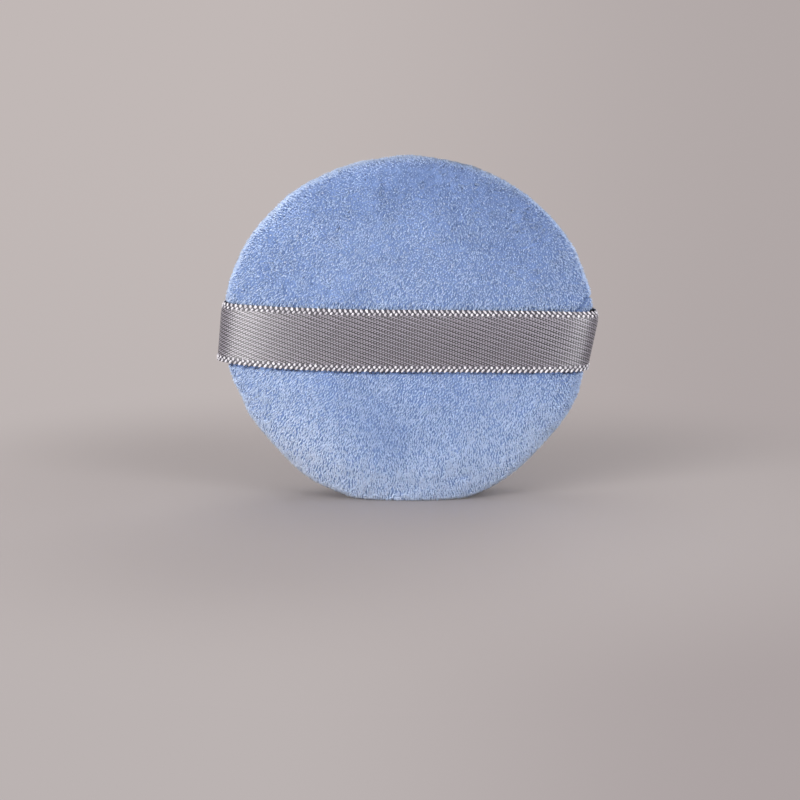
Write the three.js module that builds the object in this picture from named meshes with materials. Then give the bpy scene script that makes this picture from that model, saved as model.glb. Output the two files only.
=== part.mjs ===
// Round velour powder puff with a satin finger ribbon, standing on its rim.
// Millimetres, +Z up. X runs along the ribbon, the ribbon side faces -Y and the powder side faces +Y.
// The origin is under the middle of the puff, on the surface that it stands on.
// Depth is measured from the seam plane outwards: towards -Y on the ribbon side, +Y on the powder side.
import * as THREE from 'three';

// The whole puff
const puffWidth = 80;
const puffHeight = 74.1;          // standing on its rim flattens it a little
const standingFlat = 0.3;         // depth of the flat that it stands on
const settledDrop = 2;            // how much further down the lower half would reach if it weren't pressed
const settledSoftness = 0.8;      // how softly the floor presses it in
const lowerSidesDrawnIn = 1.3;    // how far the lower sides come in from an ellipse
const fit = 0.3;                  // clearance between neighbouring pieces
const segmentsAround = 48;

// The covers, a velour shell on each side, sewn together at the rim with the allowance turned in
const ribbonSideHeight = 11.6;    // seam plane to crown
const powderSideHeight = 10;
const rollDepth = 4;              // seam plane to the widest line of the rolled edge
const seamInset = 2.6;            // how far the seam lies inside the widest line
const coverWall = 1.6;            // velour cloth with its pile
const pressedWall = 0.8;          // the same where it is stood on
const seamGap = 0.3;              // between the two allowances
const tailGap = 1;                // between them where the ribbon's tails part them
const tailGapHalfLength = 10;     // along the seam, from the puff's middle line
const tailGapFade = 3.4;          // over which the two gaps run into each other
const allowanceWidth = 4.4;
const allowanceThickness = 1.1;
const crownPower = 2.5;           // 2 is an ellipse, more is fuller

// The filling, a foam disc between two domes of wadding
const foamThickness = 8;
const foamEdge = 1;               // chamfer round the disc
const waddingLift = 1;            // space over each allowance, for the stitches

// The ribbon, one strip whose two tails are caught in the seam
const ribbonWidth = 13.1;
const ribbonThickness = 0.4;
const ribbonRaise = -1.2;         // its middle above the puff's middle
const ribbonTail = 3.6;           // inside the seam
const ribbonGather = 0.7;         // how much narrower it is in the seam
const pullSpread = 6.5;           // along the edge, of the place where an end draws the cover in
const ribbonEnds = {              // rise: above its middle; loose: off the cover; power: how square its bend is
  left: { side: -1, rise: 1.1, looseTop: -0.4, looseBottom: 0.2, power: 2.6, pull: 0.5, pullHeight: -0.5 },
  right: { side: 1, rise: -0.6, looseTop: 0.3, looseBottom: -2.2, power: 3.6, pull: 1.3, pullHeight: -5.5 },
};

// The threads
const threadRadius = 0.15;
const stitchDip = 0.2;            // a stitch's middle above its needle holes
const seamThreadInset = 1.1;      // the machine seam, inside the groove
const seamStitches = 62;
const fillingMouth = { from: -80, to: -20 };   // degrees round the rim, from +X up: closed by hand
const mouthMargin = 2;            // degrees between the machine seam and the hand stitches
const ladderRungs = 14;
const ladderInset = 1.2;          // inside the widest line, in the groove
const ladderHalfWidth = 0.5;
const tackLength = 12;            // across each ribbon tail
const tackInset = 2.9;            // inside the groove
const tackStitches = 5;

const halfWidth = puffWidth / 2;
const heightShare = puffHeight / puffWidth;
const seamRadius = halfWidth - seamInset;
const allowanceInnerRadius = seamRadius - allowanceWidth;
const allowanceTop = seamGap / 2 + allowanceThickness;
const innerRollRadius = seamRadius - allowanceThickness / 2;
const foamRadius = allowanceInnerRadius - fit;
const ribbonDepth = ribbonSideHeight + fit + ribbonThickness / 2;
const seamPlaneY = (ribbonDepth + ribbonThickness / 2 - powderSideHeight) / 2;
const centreHeight = puffHeight / 2 - standingFlat;
const rimPullPower = 6;           // the ribbon's pull fades quickly away from the rim
const lowerSidesPeak = 0.3027;    // the largest value of the curve that draws the lower sides in

// From radius, depth and angle round the rim to a point, with the puff's centre as its zero.
// A positive depth is on the ribbon side.
function place(radius, depth, angle) {
  const share = radius / halfWidth;
  const below = Math.sin(angle) < 0;
  const low = below ? ((-Math.sin(angle)) ** 1.5 * Math.cos(angle) ** 2) / lowerSidesPeak : 0;
  const drawn = radius - lowerSidesDrawnIn * share * low;
  const flattening = heightShare + (below ? settledDrop / halfWidth : 0);
  const z = settled(drawn * Math.sin(angle) * flattening);
  const x = drawn * Math.cos(angle);
  const end = x < 0 ? ribbonEnds.left : ribbonEnds.right;
  const pull = end.pull * Math.exp(-(((z - end.pullHeight) / pullSpread) ** 2)) * share ** rimPullPower;
  return new THREE.Vector3(x - Math.sign(x) * pull, -partedDepth(depth, z), z);
}

// The floor's soft push on a height above the puff's centre
function settled(z) {
  const pressedFrom = -puffHeight / 2;
  return pressedFrom + settledSoftness * Math.log1p(Math.exp((z - pressedFrom) / settledSoftness));
}

// The covers part a little further at the ribbon's tails, less and less away from the seam
function partedDepth(depth, z) {
  const outside = Math.max(Math.abs(z) - tailGapHalfLength, 0) / tailGapFade;
  const parting = ((tailGap - seamGap) / 2) * Math.max(1 - outside, 0);
  return depth + Math.sign(depth) * parting * Math.max(1 - Math.abs(depth) / rollDepth, 0);
}

// A closed skin over rings that have the same number of points, with a fan to a tip at each end
function skin(rings, tips = [middle(rings[0]), middle(rings.at(-1))]) {
  const count = rings[0].length;
  const points = [...rings.flat(), ...tips];
  const index = [];
  for (let ring = 0; ring < rings.length - 1; ring++) {
    for (let i = 0; i < count; i++) {
      const a = ring * count + i;
      const b = ring * count + ((i + 1) % count);
      index.push(a, b, b + count, a, b + count, a + count);
    }
  }
  const lastRing = (rings.length - 1) * count;
  for (let i = 0; i < count; i++) {
    const next = (i + 1) % count;
    index.push(points.length - 2, next, i);
    index.push(points.length - 1, lastRing + i, lastRing + next);
  }
  const geometry = new THREE.BufferGeometry().setFromPoints(points);
  geometry.setIndex(enclosedVolume(points, index) < 0 ? index.reverse() : index);
  geometry.computeVertexNormals();
  return geometry;
}

function middle(ring) {
  const sum = ring.reduce((total, point) => total.add(point), new THREE.Vector3());
  return sum.divideScalar(ring.length);
}

function enclosedVolume(points, index) {
  let volume = 0;
  for (let i = 0; i < index.length; i += 3) {
    const [a, b, c] = [points[index[i]], points[index[i + 1]], points[index[i + 2]]];
    volume += a.dot(b.clone().cross(c)) / 6;
  }
  return volume;
}

// Half a section of a dome, from near its crown down to its widest line, as [radius, depth]
function crown(radius, height, steps) {
  const section = [];
  for (let step = 1; step <= steps; step++) {
    const turn = (Math.PI / 2) * (1 - step / steps);
    const across = radius * Math.cos(turn) ** (2 / crownPower);
    section.push([across, rollDepth + (height - rollDepth) * Math.sin(turn) ** (2 / crownPower)]);
  }
  return section;
}

// The rolled edge, a quarter of an ellipse from the widest line in to the seam
function roll(radius, seam, seamDepth, steps) {
  const section = [];
  for (let step = 1; step <= steps; step++) {
    const turn = (Math.PI / 2) * (step / steps);
    const across = seam + (radius - seam) * Math.cos(turn);
    section.push([across, rollDepth - (rollDepth - seamDepth) * Math.sin(turn)]);
  }
  return section;
}

// No point of a section ends up nearer to the floor than this
function keptUp(section, clearance) {
  return section.map(([radius, depth]) => [radius, depth, clearance - centreHeight]);
}

// A section turned round the puff's middle. side is 1 for the ribbon side and -1 for the powder side.
function turned(section, topDepth, bottomDepth, side) {
  const rings = section.map(([radius, depth, lowest = -centreHeight]) => {
    const ring = [];
    for (let i = 0; i < segmentsAround; i++) {
      const point = place(radius, side * depth, (2 * Math.PI * i) / segmentsAround - Math.PI / 2);
      point.z = Math.max(point.z, lowest);
      ring.push(point);
    }
    return ring;
  });
  const tips = [topDepth, bottomDepth].map((depth) => new THREE.Vector3(0, -side * depth, 0));
  return skin(rings, tips);
}

function coverShell(height, side) {
  const innerHeight = height - coverWall;
  const innerRadius = halfWidth - coverWall;
  const outside = [...crown(halfWidth, height, 9), ...roll(halfWidth, seamRadius, seamGap / 2, 4)];
  const allowance = [[allowanceInnerRadius, seamGap / 2], [allowanceInnerRadius, allowanceTop]];
  const insideRoll = roll(innerRadius, innerRollRadius, allowanceTop, 3).reverse();
  const insideCrown = crown(innerRadius, innerHeight, 6).reverse();
  const inside = keptUp([...insideRoll, ...insideCrown], pressedWall);
  return turned([...outside, ...allowance, ...inside], height, innerHeight, side);
}

function wadding(height, side) {
  const top = height - coverWall - fit;
  const radius = halfWidth - coverWall - fit;
  const skirtDepth = allowanceTop + waddingLift;
  const underside = [
    [foamRadius + fit, skirtDepth],
    [foamRadius + fit, foamThickness / 2 - foamEdge + fit],
    [foamRadius - foamEdge + fit, foamThickness / 2 + fit],
  ];
  const skirt = roll(radius, innerRollRadius - fit, skirtDepth, 2);
  const section = keptUp([...crown(radius, top, 7), ...skirt, ...underside], pressedWall + 2 * fit);
  return turned(section, top, foamThickness / 2 + fit, side);
}

function foamDisc() {
  const half = foamThickness / 2;
  const section = [
    [foamRadius - foamEdge, half],
    [foamRadius, half - foamEdge],
    [foamRadius, foamEdge - half],
    [foamRadius - foamEdge, -half],
  ];
  return turned(section, half, -half, 1);
}

// One end of the ribbon, from its tail round the rolled edge to the middle of the front, as [x, depth]
function ribbonHalf(reach, power) {
  const bendSteps = 7;
  const frontSteps = 18;
  const path = [[seamRadius - ribbonTail, 0]];
  for (let step = 0; step <= bendSteps; step++) {
    const turn = (Math.PI / 2) * (step / bendSteps);
    const across = seamRadius + (reach - seamRadius) * Math.sin(turn);
    path.push([across, rollDepth * (1 - Math.cos(turn))]);
  }
  for (let step = 1; step < frontSteps; step++) {
    const turn = (Math.PI / 2) * (step / frontSteps);
    const across = reach * Math.cos(turn) ** (2 / power);
    path.push([across, rollDepth + (ribbonDepth - rollDepth) * Math.sin(turn) ** (2 / power)]);
  }
  return path;
}

// The ribbon's whole centre line at a share of its width, 0 at the bottom edge and 1 at the top
function ribbonLine(widthShare) {
  const halves = [ribbonEnds.left, ribbonEnds.right].map((end) => {
    const loose = end.looseBottom + (end.looseTop - end.looseBottom) * widthShare;
    const reach = halfWidth + fit + ribbonThickness / 2 + loose;
    return ribbonHalf(reach, end.power).map(([across, depth]) => {
      const x = end.side * across;
      const narrow = ribbonGather * (across / halfWidth) ** rimPullPower;
      const rise = end.rise * (across / halfWidth) ** 2;
      const z = ribbonRaise + rise + (widthShare - 0.5) * (ribbonWidth - narrow);
      return new THREE.Vector3(x, -depth, z);
    });
  });
  return [...halves[0], new THREE.Vector3(0, -ribbonDepth, halfwayUp(widthShare)), ...halves[1].reverse()];
}

function halfwayUp(widthShare) {
  return ribbonRaise + (widthShare - 0.5) * ribbonWidth;
}

function fingerRibbon() {
  const lines = [0, 0.5, 1].map(ribbonLine);
  const faces = lines.map((line) => line.map((point, i) => {
    const before = line[Math.max(i - 1, 0)];
    const after = line[Math.min(i + 1, line.length - 1)];
    const along = after.clone().sub(before).setZ(0).normalize();
    const out = new THREE.Vector3(along.y, -along.x, 0).multiplyScalar(ribbonThickness / 2);
    return [point.clone().add(out), point.clone().sub(out)];
  }));
  const rings = lines[0].map((_, i) => [
    ...faces.map((face) => face[i][0]),
    ...faces.map((face) => face[i][1]).reverse(),
  ]);
  return skin(rings);
}

// A thread of square section through points given as [radius, depth, angle]
function thread(route) {
  const corners = [0, 1, 2, 3].map((corner) => (corner * Math.PI) / 2);
  return skin(route.map(([radius, depth, angle]) => corners.map((corner) => {
    const across = radius + threadRadius * Math.cos(corner);
    return place(across, depth + threadRadius * Math.sin(corner), angle);
  })));
}

// Stitches on the inner face of an allowance: low at each needle hole, higher halfway between
function stitchRow(radius, fromAngle, toAngle, stitches, side) {
  const route = [];
  for (let i = 0; i <= 2 * stitches; i++) {
    const depth = allowanceTop + threadRadius + stitchDip * (0.5 + i % 2);
    route.push([radius, side * depth, fromAngle + ((toAngle - fromAngle) * i) / (2 * stitches)]);
  }
  return thread(route);
}

function machineSeam(side) {
  const from = THREE.MathUtils.degToRad(fillingMouth.to + mouthMargin);
  const to = THREE.MathUtils.degToRad(fillingMouth.from - mouthMargin + 360);
  return stitchRow(seamRadius - seamThreadInset, from, to, seamStitches, side);
}

// The hand stitches that close the filling mouth, from one cover to the other across the groove
function ladderStitch() {
  const from = THREE.MathUtils.degToRad(fillingMouth.from + mouthMargin);
  const to = THREE.MathUtils.degToRad(fillingMouth.to - mouthMargin);
  const route = [];
  for (let i = 0; i <= ladderRungs; i++) {
    const depth = i % 2 ? ladderHalfWidth : -ladderHalfWidth;
    route.push([halfWidth - ladderInset, depth, from + ((to - from) * i) / ladderRungs]);
  }
  return thread(route);
}

// The short row that tacks a ribbon tail to the ribbon side's allowance
function ribbonTack(end) {
  const radius = seamRadius - tackInset;
  const rise = Math.asin((ribbonRaise + end.rise * (radius / halfWidth) ** 2) / radius);
  const halfAngle = tackLength / 2 / radius;
  const centre = end.side > 0 ? rise : Math.PI - rise;
  return stitchRow(radius, centre - halfAngle, centre + halfAngle, tackStitches, 1);
}

function cloth(color, roughness) {
  return new THREE.MeshStandardMaterial({ color, roughness, metalness: 0 });
}

const velour = cloth('rgb(143, 163, 204)', 0.95);
const satin = cloth('rgb(140, 137, 145)', 0.45);
const foam = cloth('rgb(240, 236, 222)', 0.9);
const fibre = cloth('rgb(245, 246, 248)', 1);
const sewingThread = cloth('rgb(150, 168, 206)', 0.7);
const tackThread = cloth('rgb(176, 173, 180)', 0.7);

const puff = new THREE.Group();
puff.position.set(0, seamPlaneY, centreHeight);

function add(name, geometry, material) {
  const mesh = new THREE.Mesh(geometry, material);
  mesh.name = name;
  puff.add(mesh);
}

add('ribbon_side_cover', coverShell(ribbonSideHeight, 1), velour);
add('powder_side_cover', coverShell(powderSideHeight, -1), velour);
add('foam_core', foamDisc(), foam);
add('ribbon_side_wadding', wadding(ribbonSideHeight, 1), fibre);
add('powder_side_wadding', wadding(powderSideHeight, -1), fibre);
add('finger_ribbon', fingerRibbon(), satin);
add('needle_thread', machineSeam(1), sewingThread);
add('bobbin_thread', machineSeam(-1), sewingThread);
add('closing_stitch', ladderStitch(), sewingThread);
add('ribbon_tack_left', ribbonTack(ribbonEnds.left), tackThread);
add('ribbon_tack_right', ribbonTack(ribbonEnds.right), tackThread);

export default puff;
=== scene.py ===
import contextlib
import math

import bpy
import numpy as np
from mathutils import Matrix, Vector
from mathutils.kdtree import KDTree


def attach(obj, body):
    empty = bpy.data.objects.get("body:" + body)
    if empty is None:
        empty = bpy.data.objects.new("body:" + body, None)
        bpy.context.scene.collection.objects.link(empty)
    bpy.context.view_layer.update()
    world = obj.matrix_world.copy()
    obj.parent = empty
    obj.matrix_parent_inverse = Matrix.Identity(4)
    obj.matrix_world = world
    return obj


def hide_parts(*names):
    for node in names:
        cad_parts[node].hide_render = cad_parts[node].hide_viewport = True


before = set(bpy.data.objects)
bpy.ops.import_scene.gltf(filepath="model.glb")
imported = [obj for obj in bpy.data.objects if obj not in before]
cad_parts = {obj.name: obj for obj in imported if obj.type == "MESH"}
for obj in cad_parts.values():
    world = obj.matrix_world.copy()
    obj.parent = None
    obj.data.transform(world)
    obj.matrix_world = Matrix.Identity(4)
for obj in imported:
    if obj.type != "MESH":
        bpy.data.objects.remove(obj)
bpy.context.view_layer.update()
print("frame:", ", ".join(sorted(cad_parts)))

# Metres, as in the frame. The ribbon side faces -Y, and depth is measured from the seam plane outwards.


def only(piece):
    bpy.ops.object.select_all(action="DESELECT")
    piece.select_set(True)
    bpy.context.view_layer.objects.active = piece


@contextlib.contextmanager
def editing(piece):
    only(piece)
    bpy.ops.object.mode_set(mode="EDIT")
    yield
    bpy.ops.object.mode_set(mode="OBJECT")


def pointsOf(piece):
    found = np.empty(len(piece.data.vertices) * 3, np.float32)
    piece.data.vertices.foreach_get("co", found)
    return found.reshape(-1, 3).astype(float)


def normalsOf(piece):
    found = np.empty(len(piece.data.vertices) * 3, np.float32)
    piece.data.vertex_normals.foreach_get("vector", found)
    return found.reshape(-1, 3).astype(float)


def movePoints(piece, points):
    piece.data.vertices.foreach_set("co", points.astype(np.float32).ravel())
    piece.data.update()


def finishModifier(piece, kind, **settings):
    only(piece)
    bpy.ops.object.modifier_add(type=kind)
    added = piece.modifiers[-1]
    for name, value in settings.items():
        setattr(added, name, value)
    bpy.ops.object.modifier_apply(modifier=added.name)


def unit(vectors):
    return vectors / np.maximum(np.linalg.norm(vectors, axis=-1, keepdims=True), 1e-12)


def ripple(points, size, seed, waves=14):
    # a smooth random field of about that wavelength, mostly within -1 and 1
    chance = np.random.default_rng(seed)
    heading = unit(chance.normal(size=(waves, 3)))
    length = size * chance.uniform(0.7, 1.5, (waves, 1))
    start = chance.uniform(0, 2 * math.pi, waves)
    return np.sin(points @ (heading * 2 * math.pi / length).T + start).sum(1) / math.sqrt(waves)


def place(piece, name):
    piece.name = piece.data.name = name
    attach(piece, "root")
    return piece


class Wire:
    # an output socket, or a number, that Python's own signs can work on
    def __init__(self, finish, socket):
        self.finish, self.socket = finish, socket

    def maths(self, operation, *values):
        return self.finish.node("ShaderNodeMath", dict(enumerate(values)), operation=operation)

    def __add__(self, other):
        return self.maths("ADD", self, other)

    def __sub__(self, other):
        return self.maths("SUBTRACT", self, other)

    def __rsub__(self, other):
        return self.maths("SUBTRACT", other, self)

    def __mul__(self, other):
        return self.maths("MULTIPLY", self, other)

    def __truediv__(self, other):
        return self.maths("DIVIDE", self, other)

    __radd__, __rmul__ = __add__, __mul__

    def sine(self):
        return self.maths("SINE", self)

    def root(self):
        return self.maths("SQRT", self)

    def distance(self):
        return self.maths("ABSOLUTE", self)

    def atLeast(self, value):
        return self.maths("MAXIMUM", self, value)

    def over(self, low, high):
        # 0 below low, 1 above high, and a soft step between them
        return self.finish.node(
            "ShaderNodeMapRange", {0: self, 1: low, 2: high, 3: 0, 4: 1}, interpolation_type="SMOOTHSTEP"
        )


class Nodes:
    def __init__(self, tree):
        self.tree = tree

    def node(self, kind, inputs=None, output=0, stops=None, **settings):
        added = self.tree.nodes.new(kind)
        for name, value in settings.items():
            setattr(added, name, value)
        if stops:
            added.color_ramp.elements[0].position, added.color_ramp.elements[0].color = stops[0]
            added.color_ramp.elements[1].position, added.color_ramp.elements[1].color = stops[-1]
            for at, colour in stops[1:-1]:
                added.color_ramp.elements.new(at).color = colour
        for name, value in (inputs or {}).items():
            self.feed(added.inputs[name], value)
        return Wire(self, added.outputs[output])

    def feed(self, socket, value):
        if isinstance(value, Wire):
            self.tree.links.new(value.socket, socket)
        else:
            socket.default_value = value

    def parts(self, vector):
        spread = self.node("ShaderNodeSeparateXYZ", {0: vector}).socket.node
        return [Wire(self, output) for output in spread.outputs]

    def coordinates(self, output="Object"):
        return self.node("ShaderNodeTexCoord", output=output)

    def noise(self, size, detail=2.0, where=None, output=0):
        # size is about how large one patch is
        return self.node(
            "ShaderNodeTexNoise",
            {"Vector": where or self.coordinates(), "Scale": 0.5 / size, "Detail": detail},
            output,
        )

    def directRays(self):
        # 1 for what the camera sees, also in a mirror or through glass, and 0 for what only gives light
        camera, mirrored, through = (
            self.node("ShaderNodeLightPath", output=f"Is {ray} Ray") for ray in ("Camera", "Glossy", "Transmission")
        )
        return camera + mirrored + through

    def blend(self, share, first, second):
        return self.node("ShaderNodeMix", {0: share, 6: first, 7: second}, 2, data_type="RGBA")


class Finish(Nodes):
    def __init__(self, name, **constants):
        self.material = bpy.data.materials.new(name)
        self.material.use_nodes = True
        super().__init__(self.material.node_tree)
        self.shader = self.tree.nodes["Principled BSDF"]
        for socket, value in constants.items():
            self.shader.inputs[socket.replace("_", " ")].default_value = value

    def drive(self, name, value):
        self.feed(self.shader.inputs[name], value)

    def bump(self, height, distance, strength=1.0):
        settings = {"Height": height, "Distance": distance, "Strength": strength}
        self.drive("Normal", self.node("ShaderNodeBump", settings))


def linear(red, green, blue):
    # a colour as a picture's numbers, 0 to 255, in the renderer's own scale
    shares = [value / 255 for value in (red, green, blue)]
    return (*(share / 12.92 if share <= 0.04045 else ((share + 0.055) / 1.055) ** 2.4 for share in shares), 1)


camera = {
    "aimedAt": (0, 0, 0.03675),
    "seenAt": (408, 328.1),      # where that point is in a picture of 800 by 800
    "picture": 800,
    "distance": 0.43,
    "elevation": 8,              # the puff itself leans back a little in the photo, and stands upright here
    "lens": 89.8,
    "sensor": 36,
}
lights = {
    # name: place, size, power in watts, colour
    "key_light": ((-0.64, -0.645, 0.11), 0.60, 13.2, (1.0, 0.985, 0.97)),
    "left_fill": ((-0.50, -0.76, 0.11), 0.50, 2.4, (1.0, 0.99, 0.98)),
    "side_light": ((0.65, -0.535, 0.09), 0.45, 7.8, (0.97, 0.98, 1.0)),
    "back_light": ((0.35, 0.80, 0.35), 0.80, 2.8, (1.0, 1.0, 1.0)),
    "top_light": ((-0.1, 0.25, 0.95), 0.8, 1.2, (1.0, 1.0, 1.0)),
}
surroundings = {
    "world": (0.60, 0.57, 0.57, 1),
    "worldStrength": 0.66,
    "floor": linear(183, 176, 175),
    "floorSize": 40,
    # the paper sweep's colour as the camera sees it, with painted light: lighter at the upper left, darker to the right
    # and lower down, as the lamps' light falls off
    "upperLeft": linear(193, 184, 182),
    "upperRight": linear(177, 168, 167),
    "lowerLeft": linear(187, 179, 178),
    "lowerRight": linear(172, 163, 163),
    "across": (-0.09, 0.20),     # where left ends and right begins, as a slope from the camera
    "down": (-0.36, 0.0),
    "shadowReach": (0.065, 0.145),  # the floor's own light and shadow end between these distances
}


def addCamera():
    bpy.ops.object.camera_add()
    seen = bpy.context.object
    seen.name = "camera"
    half = camera["picture"] / 2
    pixels = camera["lens"] / camera["sensor"] * camera["picture"]
    turn = (Vector(camera["aimedAt"]) - cameraPlace()).to_track_quat("-Z", "Y").to_matrix()
    across, up = camera["seenAt"][0] - half, half - camera["seenAt"][1]
    # the view turns about the camera until the point lands on its pixel
    look = turn @ Vector((-across, -up, -pixels)).normalized()
    seen.location = cameraPlace()
    seen.rotation_euler = look.to_track_quat("-Z", "Y").to_euler()
    seen.data.lens, seen.data.sensor_width = camera["lens"], camera["sensor"]
    seen.data.clip_start, seen.data.clip_end = 0.01, 30
    bpy.context.scene.camera = seen


def addLights():
    for name, (where, size, power, colour) in lights.items():
        bpy.ops.object.light_add(type="AREA", location=where)
        lamp = bpy.context.object
        lamp.name = name
        lamp.data.shape, lamp.data.size = "DISK", size
        lamp.data.energy, lamp.data.color = power, colour
        toward = Vector(camera["aimedAt"]) - Vector(where)
        lamp.rotation_euler = toward.to_track_quat("-Z", "Y").to_euler()
    world = bpy.data.worlds.new("studio")
    world.use_nodes = True
    sky = Nodes(world.node_tree)
    light = world.node_tree.nodes["Background"]
    light.inputs["Color"].default_value = surroundings["world"]
    light.inputs["Strength"].default_value = surroundings["worldStrength"]
    # what the camera sees past the floor's far edge: the backdrop with its painted light
    seen = sky.node("ShaderNodeBackground", {0: backdropColour(sky, sky.coordinates("Generated"))})
    lit = Wire(sky, light.outputs[0])
    either = sky.node("ShaderNodeMixShader", {0: sky.directRays(), 1: lit, 2: seen})
    sky.feed(world.node_tree.nodes["World Output"].inputs[0], either)
    bpy.context.scene.world = world


def cameraPlace():
    slope = math.radians(camera["elevation"])
    return Vector(camera["aimedAt"]) + Vector((0, -math.cos(slope), math.sin(slope))) * camera["distance"]


def backdropColour(nodes, towards):
    # by the direction from the photograph's viewpoint, so that floor and world meet without a line
    # painted light: the colour grows darker to the right and lower down, as the lamps' light falls off across the
    # backdrop
    x, y, z = nodes.parts(towards)
    ahead = y.atLeast(0.15)
    across = (x / ahead).over(*surroundings["across"])
    down = 1 - (z / ahead).over(*surroundings["down"])
    upper = nodes.blend(across, surroundings["upperLeft"], surroundings["upperRight"])
    lower = nodes.blend(across, surroundings["lowerLeft"], surroundings["lowerRight"])
    return nodes.blend(down, upper, lower)


def addFloor():
    bpy.ops.mesh.primitive_plane_add(size=surroundings["floorSize"])
    floor = bpy.context.object
    floor.name = "floor"
    paper = Finish("floor_paper", Roughness=0.9, Specular_IOR_Level=0.1)
    tint = surroundings["floor"]
    shade = tuple(share * 0.985 for share in tint[:3]) + (1,)
    paper.drive("Base Color", paper.blend(paper.noise(0.35, 1), shade, tint))
    # further out the camera sees a backdrop with painted light, lighter at the left and darker to the right, which
    # lights nothing
    x, y, _ = paper.parts(paper.coordinates())
    away = (x * x + y * y).root().over(*surroundings["shadowReach"])
    towards = paper.node(
        "ShaderNodeVectorMath", {0: paper.coordinates(), 1: tuple(cameraPlace())}, operation="SUBTRACT"
    )
    paintedBackdrop = paper.node("ShaderNodeEmission", {0: backdropColour(paper, towards)})
    share = away * paper.directRays()
    whole = paper.node("ShaderNodeMixShader", {0: share, 1: Wire(paper, paper.shader.outputs[0]), 2: paintedBackdrop})
    paper.feed(paper.tree.nodes["Material Output"].inputs["Surface"], whole)
    floor.data.materials.append(paper.material)


bpy.context.scene.view_settings.view_transform = "Standard"
addCamera()
addLights()
addFloor()
print("camera, lights and floor")

# the puff's form, as its solids have it
puff = {
    "halfWidth": 0.040,
    "height": 0.0741,
    "centre": (0, 0.00115, 0.03675),
    "ribbonSideHeight": 0.0116,
    "powderSideHeight": 0.010,
    "rollDepth": 0.004,
    "seamRadius": 0.0374,
    "grooveRadius": 0.0383,      # the cloth's seam, under the pile that closes over it
    "crownPower": 2.5,
    "settledDrop": 0.002,
    "settledSoftness": 0.0008,
    "lowerSidesDrawnIn": 0.0013,
    "lowerSidesPeak": 0.3027,
}
ribbon = {
    "width": 0.0131,
    "raise": -0.0012,
    "depth": 0.0121,
    "tail": 0.0036,
    "gather": 0.0007,
    "pullSpread": 0.0065,
    "pullPower": 6,
    "standsOff": 0.0005,
    "curlFrom": 0.80,
    "thickness": 0.0003,
    "columns": 470,
    "rows": 66,
}
# loose: how far each turn stands off the cover. curl: how far its top edge rolls back in.
# power: how square its bend is. pull: how far it draws the cover in
ribbonEnds = (
    {
        "side": -1, "rise": 0.0011, "looseTop": -0.0009, "looseBottom": 0.0002,
        "curl": 0.0005, "power": 2.6, "pull": 0.0005, "pullHeight": -0.0005,
    },
    {
        "side": 1, "rise": -0.0006, "looseTop": 0.0003, "looseBottom": -0.0022,
        "curl": 0.0009, "power": 3.6, "pull": 0.0013, "pullHeight": -0.0055,
    },
)


def settled(points):
    # points of a round puff about its middle, where they come to rest on the floor
    radius = np.hypot(points[:, 0], points[:, 2])
    sine, cosine = (points[:, k] / np.maximum(radius, 1e-9) for k in (2, 0))
    share = radius / puff["halfWidth"]
    below = sine < 0
    low = below * np.abs(sine) ** 1.5 * cosine**2 / puff["lowerSidesPeak"]
    drawn = radius - puff["lowerSidesDrawnIn"] * share * low
    z = drawn * sine * (puff["height"] / 2 + below * puff["settledDrop"]) / puff["halfWidth"]
    soft, foot = puff["settledSoftness"], -puff["height"] / 2
    z = foot + soft * np.log1p(np.exp((z - foot) / soft))
    x = drawn * cosine
    pulled = np.zeros(len(points))
    for end in ribbonEnds:
        near = np.exp(-(((z - end["pullHeight"]) / ribbon["pullSpread"]) ** 2))
        pulled += (x * end["side"] > 0) * end["side"] * end["pull"] * near
    x -= pulled * share ** ribbon["pullPower"]
    return np.column_stack((x, points[:, 1], z)) + puff["centre"]


def crown(radius, height, steps):
    # from the middle of a side out to its widest line, as radius and depth
    turns = np.linspace(math.pi / 2, 0, steps + 1)
    power = 2 / puff["crownPower"]
    across = radius * np.maximum(np.cos(turns), 0) ** power
    depth = puff["rollDepth"] + (height - puff["rollDepth"]) * np.sin(turns) ** power
    across[0] = 0
    return np.column_stack((across, depth))


def roll(radius, seam, seamDepth, steps):
    turns = np.linspace(0, math.pi / 2, steps + 1)[1:]
    across = seam + (radius - seam) * np.cos(turns)
    return np.column_stack((across, puff["rollDepth"] - (puff["rollDepth"] - seamDepth) * np.sin(turns)))


def spun(name, section, segments):
    # a section of radius and depth, drawn vertex by vertex and spun round the puff's axis
    line = [(across, -depth, 0) for across, depth in section]
    bpy.ops.mesh.primitive_plane_add(size=0.01)
    piece = bpy.context.object
    piece.name = name
    with editing(piece):
        bpy.ops.mesh.select_mode(type="VERT")
        bpy.ops.mesh.select_all(action="SELECT")
        bpy.ops.mesh.merge(type="CENTER")
        bpy.ops.transform.translate(value=line[0])
        for before, after in zip(line, line[1:]):
            step = tuple(b - a for a, b in zip(before, after))
            bpy.ops.mesh.extrude_vertices_move(TRANSFORM_OT_translate={"value": step})
        bpy.ops.mesh.select_all(action="SELECT")
        bpy.ops.mesh.spin(steps=segments, angle=2 * math.pi, center=(0, 0, 0), axis=(0, 1, 0))
        bpy.ops.mesh.select_all(action="SELECT")
        bpy.ops.mesh.remove_doubles(threshold=0.000002)
        bpy.ops.mesh.normals_make_consistent(inside=False)
    return piece


def ribbonMiddle(x):
    # the height of the ribbon's middle line above the puff's, at each x
    rise = np.where(x < 0, ribbonEnds[0]["rise"], ribbonEnds[1]["rise"])
    return ribbon["raise"] + rise * (x / puff["halfWidth"]) ** 2


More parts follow.
